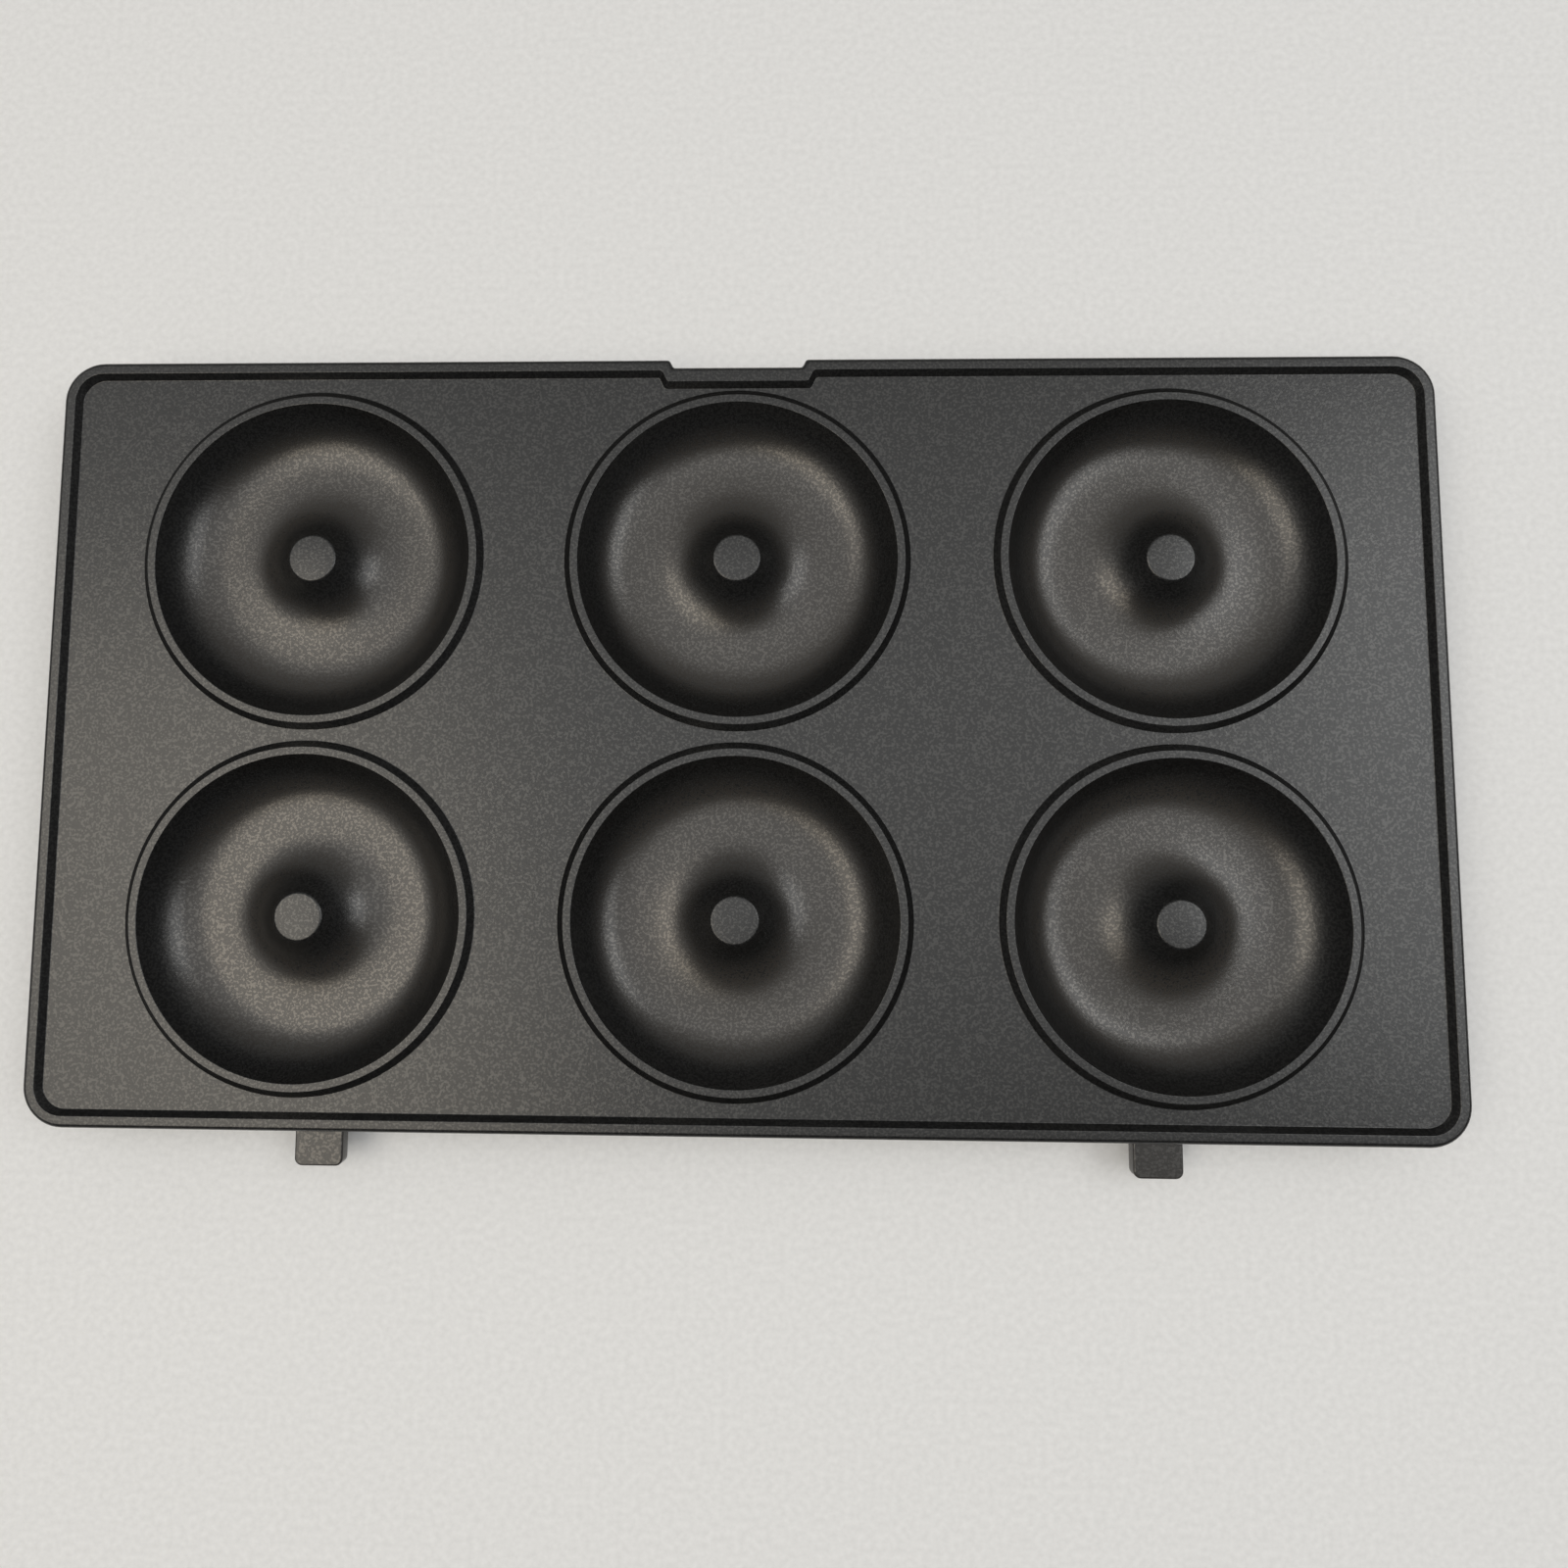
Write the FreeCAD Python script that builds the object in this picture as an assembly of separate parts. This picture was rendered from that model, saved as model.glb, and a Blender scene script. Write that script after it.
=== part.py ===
"""Removable donut baking plate: a die-cast aluminium tray and the nonstick coat on its cooking side.

The plate lies cooking face up: +X along its length, +Y to the notched rear edge and +Z up.
The origin is on the surface that it lies on, under the middle of its overall box.
Every length is in millimetres and every angle in degrees.
"""
import FreeCAD, Part
import math
import os

# Bowls: a round trough about a centre post, inside a raised ring
bowl_diameter = 55.4
bowl_depth = 11.0
post_diameter = 8.1
post_drop = 0.4
ring_width = 1.3
ring_slope_width = 0.85

# Layout: gaps between ring edges, and the panel left around them
column_count = 3
row_count = 2
column_gap = 16.3
row_gap = 4.1
side_margin = 16.7
narrowest_panel = 0.65

# Rim and panel of the cooking side
relief = 1.2
rim_width = 2.05
rim_slope_width = 0.9
edge_radius = 0.8
corner_radius = 7.0

# Notch in the rear edge, where a latch holds the plate down
notch_mouth = 24.0
notch_depth = 1.4
notch_flank_angle = 26.0
notch_corner_radius = 0.6
notch_rim_width = 2.65

# Cast walls and underside
wall = 2.2
land_depth = 0.3
post_top_thickness = 2.6
skirt_height = 7.5
skirt_wall = 2.4

# Tabs on the front edge, which hook into slots
tab_spacing = 141.8
tab_width = 8.3
tab_reach = 6.9
tab_thickness = 2.4
tab_corner_radius = 1.3

coat_thickness = 0.15

# The voids of the bowls stand this far above the rings
overcut = 1.0

# Plan of the plate, worked out from the bowls outwards to the rim
ring_outer_radius = bowl_diameter / 2 + ring_width
ring_base_radius = ring_outer_radius + ring_slope_width
column_pitch = 2 * ring_outer_radius + column_gap
row_pitch = 2 * ring_outer_radius + row_gap
end_margin = ring_slope_width + narrowest_panel + rim_slope_width + notch_rim_width + notch_depth
plate_length = (column_count - 1) * column_pitch + 2 * (ring_outer_radius + side_margin)
plate_depth = (row_count - 1) * row_pitch + 2 * (ring_outer_radius + end_margin)

# The plate's middle lies behind the origin by half the reach of the tabs
plate_centre_y = tab_reach / 2
rear_edge_y = plate_centre_y + plate_depth / 2
front_edge_y = plate_centre_y - plate_depth / 2

# Heights above the flat lands under the bowls
rim_top = bowl_depth + wall - land_depth
panel_top = rim_top - relief
panel_underside = panel_top - wall
skirt_bottom = rim_top - skirt_height

# The trough of a bowl is an arc turned about the post
trough_half_width = (bowl_diameter - post_diameter) / 4
trough_circle_radius = post_diameter / 2 + trough_half_width
trough_radius = (trough_half_width**2 + bowl_depth**2) / (2 * bowl_depth)
trough_height = rim_top - bowl_depth + trough_radius


def point(x, y, z):
    return FreeCAD.Vector(x, y, z)


def mitre(distance, slope_width, slope_height):
    """Sideways shift of a slope's edges when the slope and the level faces beside it all move in."""
    return distance * math.tan(math.atan2(slope_height, slope_width) / 2)


def rounded_loop(corners, z):
    """Closed wire at height z round (x, y, radius) corners, with a tangent arc at each corner."""
    edges = []
    last_end = None
    for index, (x, y, radius) in enumerate(corners):
        corner = point(x, y, z)
        before = corners[index - 1]
        after = corners[(index + 1) % len(corners)]
        to_before = (point(before[0], before[1], z) - corner).normalize()
        to_after = (point(after[0], after[1], z) - corner).normalize()
        half_angle = to_before.getAngle(to_after) / 2
        inward = (to_before + to_after).normalize()
        start = corner + to_before * (radius / math.tan(half_angle))
        middle = corner + inward * (radius / math.sin(half_angle) - radius)
        end = corner + to_after * (radius / math.tan(half_angle))
        if last_end is None:
            first_start = start
        else:
            edges.append(Part.LineSegment(last_end, start).toShape())
        edges.append(Part.Arc(start, middle, end).toShape())
        last_end = end
    edges.append(Part.LineSegment(last_end, first_start).toShape())
    return Part.Wire(edges)


def plate_loop(margin, notch_margin, z):
    """The plate's outline moved in by margin, or by notch_margin along the floor of the notch."""
    flank = math.radians(notch_flank_angle)
    half_length = plate_length / 2 - margin
    front = front_edge_y + margin
    rear = rear_edge_y - margin
    step = notch_depth + notch_margin - margin
    mouth = notch_mouth / 2 + margin * (1 - math.sin(flank)) / math.cos(flank)
    floor = mouth - step * math.tan(flank)
    corners = [
        (-half_length, front, corner_radius - margin),
        (half_length, front, corner_radius - margin),
        (half_length, rear, corner_radius - margin),
        (mouth, rear, notch_corner_radius),
        (floor, rear - step, notch_corner_radius),
        (-floor, rear - step, notch_corner_radius),
        (-mouth, rear, notch_corner_radius),
        (-half_length, rear, corner_radius - margin),
    ]
    return rounded_loop(corners, z)


def prism(wire, height):
    return Part.Face(wire).extrude(point(0, 0, height))


def turned(edges):
    """Solid turned about Z from the closed profile that edges draw in the XZ plane."""
    return Part.Face(Part.Wire(edges)).revolve(point(0, 0, 0), point(0, 0, 1), 360)


def straight_run(*stations):
    """Straight edges of a profile through (radius, height) stations."""
    points = [point(radius, 0, height) for radius, height in stations]
    return [Part.LineSegment(start, end).toShape() for start, end in zip(points, points[1:])]


def trough_arc(arc_radius, inner_height, outer_height):
    """The trough's arc, drawn with arc_radius, from the post side to the ring side, and its end radii."""
    inner = trough_circle_radius - math.sqrt(arc_radius**2 - (trough_height - inner_height) ** 2)
    outer = trough_circle_radius + math.sqrt(arc_radius**2 - (trough_height - outer_height) ** 2)
    bottom = point(trough_circle_radius, 0, trough_height - arc_radius)
    arc = Part.Arc(point(inner, 0, inner_height), bottom, point(outer, 0, outer_height))
    return arc.toShape(), inner, outer


def bowl_void(skin):
    """The space above one bowl and its post, with its walls moved into the metal by skin."""
    mouth_height = rim_top - skin
    post_height = rim_top - post_drop - skin
    above = rim_top + overcut
    arc, post_edge, ring_edge = trough_arc(trough_radius + skin, post_height, mouth_height)
    inside = straight_run((0, above), (0, post_height), (post_edge, post_height))
    outside = straight_run((ring_edge, mouth_height), (ring_edge, above), (0, above))
    return turned(inside + [arc] + outside)


def bowl_bulge(skin):
    """One ring and the metal under its bowl, hollow under the post and flat where it lands."""
    top = rim_top - skin
    shift = mitre(skin, ring_slope_width, relief)
    hollow_top = rim_top - post_drop - post_top_thickness
    arc, hollow_edge, bulge_edge = trough_arc(trough_radius + wall, hollow_top, panel_underside)
    inside = straight_run((0, top), (0, hollow_top), (hollow_edge, hollow_top))
    outside = straight_run(
        (bulge_edge, panel_underside),
        (ring_base_radius - shift, panel_underside),
        (ring_base_radius - shift, panel_top - skin),
        (ring_outer_radius - shift, top),
        (0, top),
    )
    below_land = Part.makeCylinder(ring_base_radius, wall, point(0, 0, -wall))
    return turned(inside + [arc] + outside).cut(below_land)


def tray(skin):
    """Rim, panel and skirt, with the cooking side and the outer wall moved in by skin."""
    top = rim_top - skin
    block = prism(plate_loop(skin, skin, skirt_bottom), top - skirt_bottom)
    top_edges = [edge for edge in block.Edges if edge.BoundBox.ZMin > top - skin / 2 - edge_radius / 2]
    block = block.makeFillet(edge_radius - skin, top_edges)
    shift = mitre(skin, rim_slope_width, relief)
    rim_edge = rim_width - shift
    notch_edge = notch_rim_width - shift
    panel_loop = plate_loop(rim_edge + rim_slope_width, notch_edge + rim_slope_width, panel_top - skin)
    recess = Part.makeLoft([panel_loop, plate_loop(rim_edge, notch_edge, top)], True, True)
    underside = prism(plate_loop(skirt_wall, skirt_wall, skirt_bottom), panel_underside - skirt_bottom)
    return block.cut([recess, underside])


def tab(skin):
    """One tongue, lying level with the skirt's lower edge, at the middle of the front."""
    half_width = tab_width / 2 - skin
    tip = front_edge_y - tab_reach + skin
    root = front_edge_y + skirt_wall / 2
    radius = tab_corner_radius - skin
    corners = [(-half_width, tip), (half_width, tip), (half_width, root), (-half_width, root)]
    loop = rounded_loop([(x, y, radius) for x, y in corners], skirt_bottom)
    return prism(loop, tab_thickness - skin)


def centred(count, pitch):
    return [(index - (count - 1) / 2) * pitch for index in range(count)]


def at_bowls(shape):
    """Copies of a shape at every bowl."""
    places = [(x, plate_centre_y + y) for y in centred(row_count, row_pitch) for x in centred(column_count, column_pitch)]
    return [shape.translated(point(x, y, 0)) for x, y in places]


def plate(skin):
    """The whole plate with its coated faces moved in by skin, so that zero gives the coat's surface."""
    openings = at_bowls(Part.makeCylinder(ring_outer_radius - wall, rim_top))
    bulges = at_bowls(bowl_bulge(skin))
    tabs = [tab(skin).translated(point(x, 0, 0)) for x in centred(2, tab_spacing)]
    voids = at_bowls(bowl_void(skin))
    return tray(skin).cut(openings).fuse(bulges + tabs).cut(voids).removeSplitter()


os.makedirs("parts", exist_ok=True)
plate_casting = plate(coat_thickness)
nonstick_coating = plate(0.0).cut(plate_casting)
for name, shape in (("plate_casting", plate_casting), ("nonstick_coating", nonstick_coating)):
    solid = shape.Solids[0]
    print(name, "solids", len(shape.Solids), "valid", solid.isValid(), "volume", round(solid.Volume, 1))
    solid.exportStep("parts/" + name + ".step")
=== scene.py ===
import math

import bmesh
import bpy
from mathutils import Matrix, Vector


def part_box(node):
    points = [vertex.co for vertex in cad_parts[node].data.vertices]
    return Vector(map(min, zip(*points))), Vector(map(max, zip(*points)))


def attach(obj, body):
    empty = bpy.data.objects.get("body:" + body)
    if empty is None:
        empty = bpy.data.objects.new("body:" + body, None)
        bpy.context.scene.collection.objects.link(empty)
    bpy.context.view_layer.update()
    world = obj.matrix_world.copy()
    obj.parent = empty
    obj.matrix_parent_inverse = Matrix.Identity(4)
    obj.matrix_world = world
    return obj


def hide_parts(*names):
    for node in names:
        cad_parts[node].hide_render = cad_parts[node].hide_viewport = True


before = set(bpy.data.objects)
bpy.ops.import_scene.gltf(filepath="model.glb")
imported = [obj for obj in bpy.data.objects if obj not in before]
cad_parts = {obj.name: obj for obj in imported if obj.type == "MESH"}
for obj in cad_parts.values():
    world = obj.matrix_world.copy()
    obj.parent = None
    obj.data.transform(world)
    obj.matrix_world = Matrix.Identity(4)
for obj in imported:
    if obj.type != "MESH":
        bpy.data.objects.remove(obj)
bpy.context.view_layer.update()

# The plate lies cooking face up. Its coat is modelled here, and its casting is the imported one,
# with the metal of the bowls brought up under the coat. Lengths are in metres.
MM = 0.001

# The plate's own box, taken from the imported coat
coat_low, coat_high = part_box("nonstick_coating")
plate_half_length = coat_high.x
rear_edge = coat_high.y
tab_tip = coat_low.y
rim_top = coat_high.z

# Bowls: a trough rises to the ring and to the post by the power bowl_curve of the way from its floor
column_count = 3
row_count = 2
column_pitch = 74.3 * MM
row_pitch = 62.1 * MM
bowl_radius = 27.7 * MM
bowl_depth = 6.8 * MM
bowl_floor_radius = 16.4 * MM
bowl_curve = 2.8
post_radius = 4.05 * MM
post_drop = 0.4 * MM
post_edge_radius = 0.55 * MM
ring_width = 1.3 * MM
ring_slope = 1.1 * MM

# Rim, panel and skirt
relief = 1.2 * MM
rim_width = 2.05 * MM
rim_slope = 0.9 * MM
corner_radius = 7.0 * MM
edge_radius = 0.8 * MM
soft_edge = 0.16 * MM
root_fillet = 0.16 * MM
panel_run = 0.15 * MM
skirt_height = 7.5 * MM
coat_thickness = 0.15 * MM

# Rear notch
notch_mouth = 24.0 * MM
notch_depth = 1.4 * MM
notch_flank = math.radians(26.0)
notch_corner = 0.6 * MM
notch_rim_extra = 0.6 * MM

# Front tabs
tab_count = 2
tab_spacing = 141.8 * MM
tab_width = 8.3 * MM
tab_reach = 6.9 * MM
tab_thickness = 2.4 * MM
tab_corner = 1.3 * MM
tab_edge = 0.35 * MM

# Mesh fineness. Points within level_gap count as level, or as the same point
corner_segments = 12
notch_segments = 4
tab_corner_segments = 6
tab_root_segments = 1
tab_edge_segments = 3
bowl_steps = 112
trough_steps = 30
fillet_steps = 4
tier_gap = 1.0 * MM
level_gap = 0.001 * MM
casting_crease = math.radians(20.0)

# Heights and edges that follow from the sizes above
front_edge = tab_tip + tab_reach
plate_middle = (front_edge + rear_edge) / 2
panel_top = rim_top - relief
skirt_bottom = rim_top - skirt_height
ring_outer = bowl_radius + ring_width
ring_base = ring_outer + ring_slope
post_top = rim_top - post_drop
bowl_floor = rim_top - bowl_depth

# The bowls' metal lies this far under the surface, which clears the coat on the steepest walls
metal_drop = 2 * coat_thickness

# Nonstick coat: its grain, its metal flecks and a slow drift in its gloss
coat_grain = {"Scale": 1900.0, "Detail": 2.0, "Roughness": 0.6}
coat_tones = [(0.35, (0.002, 0.002, 0.0019)), (0.66, (0.005, 0.0049, 0.0047))]
coat_bump = {"Strength": 0.4, "Distance": 0.06 * MM}
coat_drift = {"Scale": 18.0, "Detail": 3.0}
coat_roughness = (0.25, 0.31)
coat_specular = 0.62
coat_flecks = {"Scale": 2250.0, "Detail": 1.0, "Roughness": 0.5}
fleck_reach = (0.50, 0.58)
fleck_colour = (0.076, 0.0755, 0.074, 1.0)
fleck_metal = 0.95

# Baking has browned the coat up to this height above the bowls' floors
browned_height = 4.0 * MM
browned_tint = (0.027, 0.023, 0.019, 1.0)

# Bare casting: the mould's fine grain and a faint mottle
casting_grain = {"Scale": 1400.0, "Detail": 3.0}
casting_bump = {"Strength": 0.25, "Distance": 0.08 * MM}
casting_mottle = {"Scale": 55.0, "Detail": 4.0, "Distortion": 0.6}
casting_tones = [(0.3, (0.40, 0.40, 0.395)), (0.72, (0.56, 0.56, 0.555))]
casting_roughness = (0.42, 0.60)
casting_metal = 0.85

# Worktop that the plate lies on
worktop_half_size = 1.5
worktop_speckle = {"Scale": 900.0, "Detail": 3.0}
worktop_tones = [(0.3, (0.845, 0.845, 0.843)), (0.7, (0.925, 0.925, 0.923))]
worktop_roughness = 0.7

# Studio dome: tone by the sine of the height above the horizon
dome_strength = 1.5
dome_tones = [
    (0.0, (0.03, 0.03, 0.03)),
    (0.12, (0.07, 0.07, 0.07)),
    (0.42, (0.76, 0.76, 0.75)),
    (0.80, (0.93, 0.93, 0.92)),
    (1.0, (0.88, 0.88, 0.87)),
]

# The dome fades to both sides, to front and rear, and once more to the front.
# A fade has the stretch of the way there over which the light falls, and the share of it that is left.
side_fade = ((0.55, 0.98), 0.05)
length_fade = ((0.08, 0.70), 0.27)
front_direction = (0.40, -0.92, 0.0)
front_fade = ((0.03, 0.60), 0.22)

# The room round the dome is nowhere darker than this
room_tone = (0.065, 0.065, 0.066)

# Softboxes: name, place, size, power in watts and colour
softboxes = [
    ("softbox_left", (-0.60, -0.22, 1.11), (1.0, 0.65), 3.15, (1.0, 0.89, 0.72)),
    ("softbox_right", (0.81, 0.08, 0.96), (0.8, 0.55), 2.15, (0.97, 0.99, 1.0)),
]

# Camera, fitted to the photo: pixels are the photo's, and its axis goes through the sight pixel
frame_pixels = 1600.0
focal_pixels = 1156.0
sight_pixel = (740.0, 745.0)
camera_place = Vector((4.13, -13.18, 204.75)) * MM
camera_aim = Vector((-1.78, 4.50, 12.9)) * MM
camera_roll = math.radians(0.387)
camera_near_clip = 10.0 * MM
camera_sensor_width = 36.0


def centred(count, pitch):
    """Places of a row of things a pitch apart, about zero."""
    return [(index - (count - 1) / 2) * pitch for index in range(count)]


def bowl_centres():
    """Middles of the bowls, from the front left one, row by row."""
    rows = centred(row_count, row_pitch)
    columns = centred(column_count, column_pitch)
    return [Vector((x, plate_middle + y, 0)) for y in rows for x in columns]


def rounded_profile(corners):
    """Points of a profile through (u, v, radius) corners, with an arc at each corner that has a radius."""
    points = []
    for index, (u, v, radius) in enumerate(corners):
        corner = Vector((u, v))
        if radius == 0 or index in (0, len(corners) - 1):
            points.append(corner)
            continue
        back = (Vector(corners[index - 1][:2]) - corner).normalized()
        ahead = (Vector(corners[index + 1][:2]) - corner).normalized()
        half = back.angle(ahead) / 2
        start = corner + back * (radius / math.tan(half))
        end = corner + ahead * (radius / math.tan(half))
        centre = corner + (back + ahead).normalized() * (radius / math.sin(half))
        for step in range(fillet_steps + 1):
            chord = start.lerp(end, step / fillet_steps)
            points.append(centre + (chord - centre).normalized() * radius)
    return points


def rim_profile():
    """(distance in from the edge, height) from the foot of the skirt, over the rim, to the panel."""
    corners = [
        (0, skirt_bottom, 0),
        (0, rim_top, edge_radius),
        (rim_width, rim_top, soft_edge),
        (rim_width + rim_slope, panel_top, root_fillet),
        (rim_width + rim_slope + panel_run, panel_top, 0),
    ]
    return rounded_profile(corners)


def trough_height(radius):
    """Height of a bowl's trough at a radius from the bowl's middle."""
    if radius > bowl_floor_radius:
        edge, edge_height = bowl_radius, rim_top
    else:
        edge, edge_height = post_radius, post_top
    share = (radius - bowl_floor_radius) / (edge - bowl_floor_radius)
    return bowl_floor + (edge_height - bowl_floor) * share**bowl_curve


def bowl_profile():
    """(radius, height) from the panel over the ring, round the trough and up to the top of the post."""
    trough = []
    for step in range(1, trough_steps):
        radius = bowl_radius + (post_radius - bowl_radius) * step / trough_steps
        trough.append((radius, trough_height(radius), 0))
    corners = [
        (ring_base + panel_run, panel_top, 0),
        (ring_base, panel_top, root_fillet),
        (ring_outer, rim_top, soft_edge),
        (bowl_radius, rim_top, soft_edge),
        *trough,
        (post_radius, post_top, post_edge_radius),
        (0, post_top, 0),
    ]
    return rounded_profile(corners)


def round_off(bm, geom, affect, offset, segments):
    """Bevels vertices or edges to an arc of a number of segments."""
    bmesh.ops.bevel(
        bm,
        geom=geom,
        offset=offset,
        offset_type="OFFSET",
        affect=affect,
        segments=segments,
        profile=0.5,
        material=-1,
    )


def rounded_loop(bm, corners, height):
    """Edges of a closed loop at a height round (x, y, radius, segments) corners."""
    loop = [bm.verts.new((x, y, height)) for x, y, _, _ in corners]
    bm.faces.new(loop)
    for vert, (_, _, radius, segments) in zip(loop, corners):
        sides = [edge.other_vert(vert).co - vert.co for edge in vert.link_edges]
        half = sides[0].angle(sides[1]) / 2
        round_off(bm, [vert], "VERTICES", radius / math.tan(half), segments)
    face = next(face for face in bm.faces if all(abs(v.co.z - height) < level_gap for v in face.verts))
    edges = list(face.edges)
    bmesh.ops.delete(bm, geom=[face], context="FACES_ONLY")
    return edges


def plate_loop(bm, margin, notch_margin, height):
    """The plate's outline moved in by margin, or by notch_margin along the floor of the notch."""
    half_length = plate_half_length - margin
    front = front_edge + margin
    rear = rear_edge - margin
    step = notch_depth + notch_margin - margin
    mouth = notch_mouth / 2 + margin * (1 - math.sin(notch_flank)) / math.cos(notch_flank)
    floor = mouth - step * math.tan(notch_flank)
    round_corner = (corner_radius - margin, corner_segments)
    small_corner = (notch_corner, notch_segments)
    corners = [
        (-half_length, front, *round_corner),
        (half_length, front, *round_corner),
        (half_length, rear, *round_corner),
        (mouth, rear, *small_corner),
        (floor, rear - step, *small_corner),
        (-floor, rear - step, *small_corner),
        (-mouth, rear, *small_corner),
        (-half_length, rear, *round_corner),
    ]
    return rounded_loop(bm, corners, height)


def add_bowl(bm, centre):
    """Spins one ring, bowl and post into bm, open at the foot of the ring."""
    profile = [bm.verts.new((centre.x + radius, centre.y, height)) for radius, height in bowl_profile()]
    edges = [bm.edges.new(pair) for pair in zip(profile, profile[1:])]
    bmesh.ops.spin(
        bm,
        geom=profile + edges,
        cent=centre,
        axis=(0, 0, 1),
        angle=2 * math.pi,
        steps=bowl_steps,
        use_merge=True,
        use_duplicate=False,
    )


def boundary_edges(bm):
    return [edge for edge in bm.edges if edge.is_boundary]


def add_rim(bm):
    """Skirt, rim and the slope down to the panel. Returns the edges of the loop round the panel.

    The loops are bridged as tiers above the plate, because level ones twist, and then go to their heights.
    """
    tiers = []
    for tier, (margin, height) in enumerate(rim_profile()):
        extra = notch_rim_extra if margin > rim_width / 2 else 0
        lift = rim_top + (tier + 1) * tier_gap - height
        tiers.append((plate_loop(bm, margin, margin + extra, height + lift), lift))
    for (lower, _), (upper, _) in zip(tiers, tiers[1:]):
        bmesh.ops.bridge_loops(bm, edges=lower + upper)
    for loop, lift in tiers:
        verts = {vert for edge in loop for vert in edge.verts}
        bmesh.ops.translate(bm, verts=list(verts), vec=(0, 0, -lift))
    return tiers[-1][0]


def add_tab(bm, x):
    """A tongue's coat, open underneath and at its root on the skirt."""
    half = tab_width / 2
    root = front_edge + coat_thickness
    corners = [
        (x - half, tab_tip, tab_corner, tab_corner_segments),
        (x + half, tab_tip, tab_corner, tab_corner_segments),
        (x + half, root, tab_edge, tab_root_segments),
        (x - half, root, tab_edge, tab_root_segments),
    ]
    foot = rounded_loop(bm, corners, skirt_bottom)
    face = bmesh.ops.contextual_create(bm, geom=foot)["faces"][0]
    raised = bmesh.ops.extrude_face_region(bm, geom=[face])
    top = next(item for item in raised["geom"] if isinstance(item, bmesh.types.BMFace))
    bmesh.ops.translate(bm, verts=top.verts, vec=(0, 0, tab_thickness))
    round_off(bm, list(top.edges), "EDGES", tab_edge, tab_edge_segments)
    bmesh.ops.recalc_face_normals(bm, faces=bm.faces)
    feet = [face for face in bm.faces if face.calc_center_median().z - skirt_bottom < level_gap]
    roots = [face for face in bm.faces if root - face.calc_center_median().y < level_gap]
    bmesh.ops.delete(bm, geom=feet + roots, context="FACES_ONLY")


def coat_mesh():
    """The coat's outer surface: tabs, rim and bowls, with the panel filled in between them."""
    bm = bmesh.new()
    for x in centred(tab_count, tab_spacing):
        add_tab(bm, x)
    panel_edge = add_rim(bm)
    ends = set(boundary_edges(bm))
    for centre in bowl_centres():
        add_bowl(bm, centre)
    bmesh.ops.remove_doubles(bm, verts=bm.verts, dist=level_gap)
    holes = [edge for edge in boundary_edges(bm) if edge not in ends]
    bmesh.ops.triangle_fill(bm, edges=holes + panel_edge, use_beauty=True, normal=(0, 0, 1))
    bmesh.ops.recalc_face_normals(bm, faces=bm.faces)
    return bm


def casting_mesh():
    """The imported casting, with its metal brought up under the coat wherever a bowl is shallower."""
    bm = bmesh.new()
    bm.from_mesh(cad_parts["plate_casting"].data)
    bmesh.ops.remove_doubles(bm, verts=bm.verts, dist=level_gap)
    bm.normal_update()
    centres = bowl_centres()
    for vert in bm.verts:
        radius = min((vert.co - centre).xy.length for centre in centres)
        if vert.normal.z > 0 and post_radius < radius < bowl_radius:
            vert.co.z = max(vert.co.z, trough_height(radius) - metal_drop)
    bm.normal_update()
    return bm


def new_piece(name, bm, material):
    """Makes a smooth object of one material from bm, which is freed."""
    mesh = bpy.data.meshes.new(name)
    bm.to_mesh(mesh)
    bm.free()
    piece = bpy.data.objects.new(name, mesh)
    bpy.context.scene.collection.objects.link(piece)
    mesh.shade_smooth()
    mesh.materials.append(material)
    return piece


def level_shading(piece):
    """Keeps large level faces flat where they meet rounded edges."""
    level = piece.modifiers.new("level", "WEIGHTED_NORMAL")
    level.keep_sharp = True


def node(tree, kind, **values):
    """Adds a node, and sets its properties and its sockets by name."""
    made = tree.nodes.new(kind)
    for key, value in values.items():
        if hasattr(made, key):
            setattr(made, key, value)
        else:
            made.inputs[key].default_value = value
    return made


def noise(tree, place, sockets):
    """Noise of a scale and detail that sockets give, from 0 to 1."""
    made = node(tree, "ShaderNodeTexNoise", **sockets)
    tree.links.new(place, made.inputs["Vector"])
    return made.outputs["Fac"]


def toned(tree, value, tones):
    """Colour of a value, by a ramp through (position, colour) tones in order."""
    ramp = node(tree, "ShaderNodeValToRGB")
    stops = ramp.color_ramp.elements
    while len(stops) < len(tones):
        stops.new(1.0)
    for stop, (position, colour) in zip(stops, tones):
        stop.position = position
        stop.color = (*colour, 1)
    tree.links.new(value, ramp.inputs["Fac"])
    return ramp.outputs["Color"]


def remap(tree, value, reach=(0.0, 1.0), result=(0.0, 1.0), curve="LINEAR"):
    """Value taken from the range of reach to the range of result."""
    made = node(tree, "ShaderNodeMapRange", interpolation_type=curve)
    for ends, (start, end) in (("From", reach), ("To", result)):
        made.inputs[ends + " Min"].default_value = start
        made.inputs[ends + " Max"].default_value = end
    tree.links.new(value, made.inputs["Value"])
    return made.outputs["Result"]


def blended(tree, blend, share, colour, other):
    """Colour with a share of one other fixed colour mixed in or added."""
    mix = node(tree, "ShaderNodeMix", data_type="RGBA", blend_type=blend, B=other)
    tree.links.new(share, mix.inputs["Factor"])
    tree.links.new(colour, mix.inputs["A"])
    return mix.outputs["Result"]


def bumped(tree, grain, sockets):
    """Normals of a surface that a grain roughens."""
    bump = node(tree, "ShaderNodeBump", **sockets)
    tree.links.new(grain, bump.inputs["Height"])
    return bump.outputs["Normal"]


def new_material(name):
    """A material, its node tree, its shader and the Object coordinates of the piece."""
    material = bpy.data.materials.new(name)
    material.use_nodes = True
    tree = material.node_tree
    place = node(tree, "ShaderNodeTexCoord").outputs["Object"]
    return material, tree, tree.nodes["Principled BSDF"], place


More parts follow.
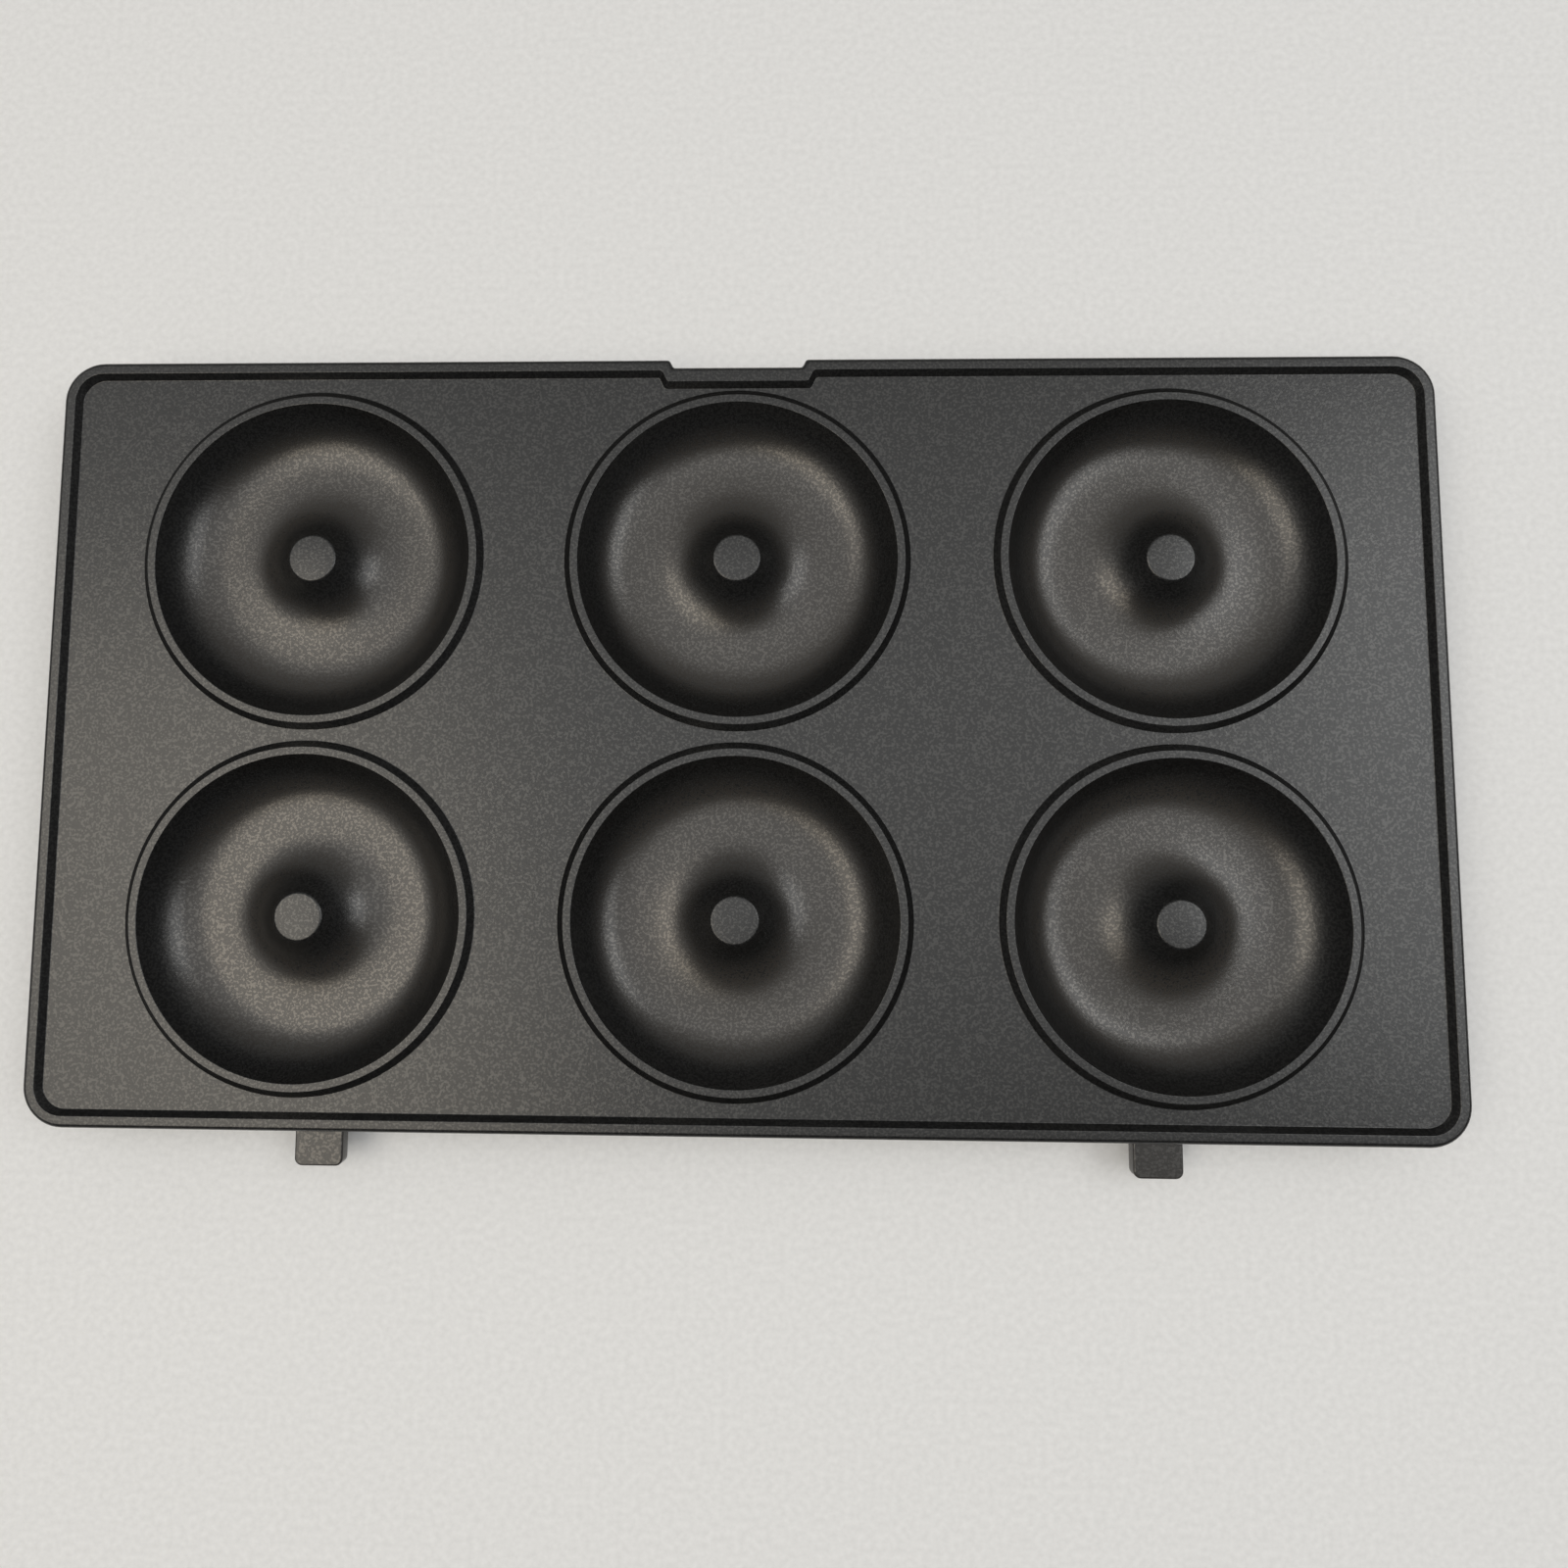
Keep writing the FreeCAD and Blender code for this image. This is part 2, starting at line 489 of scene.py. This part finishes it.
def nonstick_coat():
    """Charcoal nonstick with a sprayed grain, metal flecks and a satin gloss, browned in the bowls."""
    material, tree, shader, place = new_material("nonstick_coat")
    link = tree.links.new
    grain = noise(tree, place, coat_grain)
    flecks = remap(tree, noise(tree, place, coat_flecks), reach=fleck_reach)
    colour = blended(tree, "MIX", flecks, toned(tree, grain, coat_tones), fleck_colour)
    height = node(tree, "ShaderNodeSeparateXYZ")
    link(place, height.inputs["Vector"])
    browned_reach = (bowl_floor + browned_height, bowl_floor)
    browned = remap(tree, height.outputs["Z"], reach=browned_reach, curve="SMOOTHSTEP")
    gloss = remap(tree, noise(tree, place, coat_drift), result=coat_roughness)
    link(blended(tree, "ADD", browned, colour, browned_tint), shader.inputs["Base Color"])
    link(remap(tree, flecks, result=(0.0, fleck_metal)), shader.inputs["Metallic"])
    link(gloss, shader.inputs["Roughness"])
    link(bumped(tree, grain, coat_bump), shader.inputs["Normal"])
    shader.inputs["Specular IOR Level"].default_value = coat_specular
    return material


def bare_casting():
    """Bare die-cast aluminium: pale grey, faintly mottled, with the mould's fine grain."""
    material, tree, shader, place = new_material("bare_casting")
    link = tree.links.new
    mottle = noise(tree, place, casting_mottle)
    grain = noise(tree, place, casting_grain)
    link(toned(tree, mottle, casting_tones), shader.inputs["Base Color"])
    link(remap(tree, mottle, result=casting_roughness), shader.inputs["Roughness"])
    link(bumped(tree, grain, casting_bump), shader.inputs["Normal"])
    shader.inputs["Metallic"].default_value = casting_metal
    return material


def worktop():
    """Pale grey worktop with a faint speckle."""
    material, tree, shader, place = new_material("worktop")
    speckle = noise(tree, place, worktop_speckle)
    tree.links.new(toned(tree, speckle, worktop_tones), shader.inputs["Base Color"])
    shader.inputs["Roughness"].default_value = worktop_roughness
    return material


def build_plate():
    """The coat and the casting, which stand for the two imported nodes."""
    coat = new_piece("coat_skin", coat_mesh(), nonstick_coat())
    skin = coat.modifiers.new("skin", "SOLIDIFY")
    skin.thickness = coat_thickness
    skin.offset = -1
    level_shading(coat)
    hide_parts("nonstick_coating")
    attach(coat, "root")
    casting = new_piece("casting_body", casting_mesh(), bare_casting())
    casting.data.set_sharp_from_angle(angle=casting_crease)
    level_shading(casting)
    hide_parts("plate_casting")
    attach(casting, "root")


def build_floor():
    bm = bmesh.new()
    bmesh.ops.create_grid(bm, x_segments=2, y_segments=2, size=worktop_half_size)
    floor = new_piece("worktop", bm, worktop())


def area_light(name, place, aim, size, power, colour):
    """A rectangular lamp at a place, turned to its aim."""
    data = bpy.data.lights.new(name, "AREA")
    data.shape = "RECTANGLE"
    data.size, data.size_y = size
    data.energy = power
    data.color = colour
    lamp = bpy.data.objects.new(name, data)
    lamp.location = place
    lamp.rotation_euler = (Vector(aim) - Vector(place)).to_track_quat("-Z", "Y").to_euler()
    bpy.context.scene.collection.objects.link(lamp)


def faded(tree, light, distance, reach, left):
    """Light times a smooth fall from 1 to the share left, as distance goes through reach."""
    fall = remap(tree, distance, reach=reach, result=(1.0, left), curve="SMOOTHSTEP")
    dimmed = node(tree, "ShaderNodeVectorMath", operation="SCALE")
    tree.links.new(light, dimmed.inputs[0])
    tree.links.new(fall, dimmed.inputs["Scale"])
    return dimmed.outputs["Vector"]


def studio_dome():
    """Soft overhead light that fades to the sides, to the rear and most of all to the front."""
    world = bpy.data.worlds.new("studio_dome")
    world.use_nodes = True
    tree = world.node_tree
    link = tree.links.new
    back = tree.nodes["Background"]
    back.inputs["Strength"].default_value = dome_strength
    look = node(tree, "ShaderNodeTexCoord").outputs["Generated"]
    heading = node(tree, "ShaderNodeSeparateXYZ")
    link(look, heading.inputs["Vector"])
    light = toned(tree, heading.outputs["Z"], dome_tones)
    for axis, fade in (("X", side_fade), ("Y", length_fade)):
        distance = node(tree, "ShaderNodeMath", operation="ABSOLUTE")
        link(heading.outputs[axis], distance.inputs[0])
        light = faded(tree, light, distance.outputs["Value"], *fade)
    front = node(tree, "ShaderNodeVectorMath", operation="DOT_PRODUCT")
    front.inputs[1].default_value = front_direction
    link(look, front.inputs[0])
    light = faded(tree, light, front.outputs["Value"], *front_fade)
    room = node(tree, "ShaderNodeVectorMath", operation="MAXIMUM")
    room.inputs[1].default_value = room_tone
    link(light, room.inputs[0])
    link(room.outputs["Vector"], back.inputs["Color"])
    bpy.context.scene.world = world


def build_light():
    studio_dome()
    aim = (0, plate_middle, rim_top)
    for name, place, size, power, colour in softboxes:
        area_light(name, place, aim, size, power, colour)


def build_camera():
    """A camera at the photo's angle, turned about its axis by the roll."""
    data = bpy.data.cameras.new("camera")
    data.sensor_width = camera_sensor_width
    data.lens = camera_sensor_width * focal_pixels / frame_pixels
    data.shift_x = 0.5 - sight_pixel[0] / frame_pixels
    data.shift_y = sight_pixel[1] / frame_pixels - 0.5
    data.clip_start = camera_near_clip
    camera = bpy.data.objects.new("camera", data)
    ahead = (camera_aim - camera_place).normalized()
    right = ahead.cross(Vector((0, 1, 0))).normalized()
    up = right.cross(ahead)
    turned_right = right * math.cos(camera_roll) + up * math.sin(camera_roll)
    turned_up = turned_right.cross(ahead)
    turn = Matrix((turned_right, turned_up, -ahead)).transposed()
    camera.matrix_world = Matrix.Translation(camera_place) @ turn.to_4x4()
    bpy.context.scene.collection.objects.link(camera)
    bpy.context.scene.camera = camera


build_plate()
build_floor()
build_light()
build_camera()
bpy.context.scene.view_settings.view_transform = "Standard"
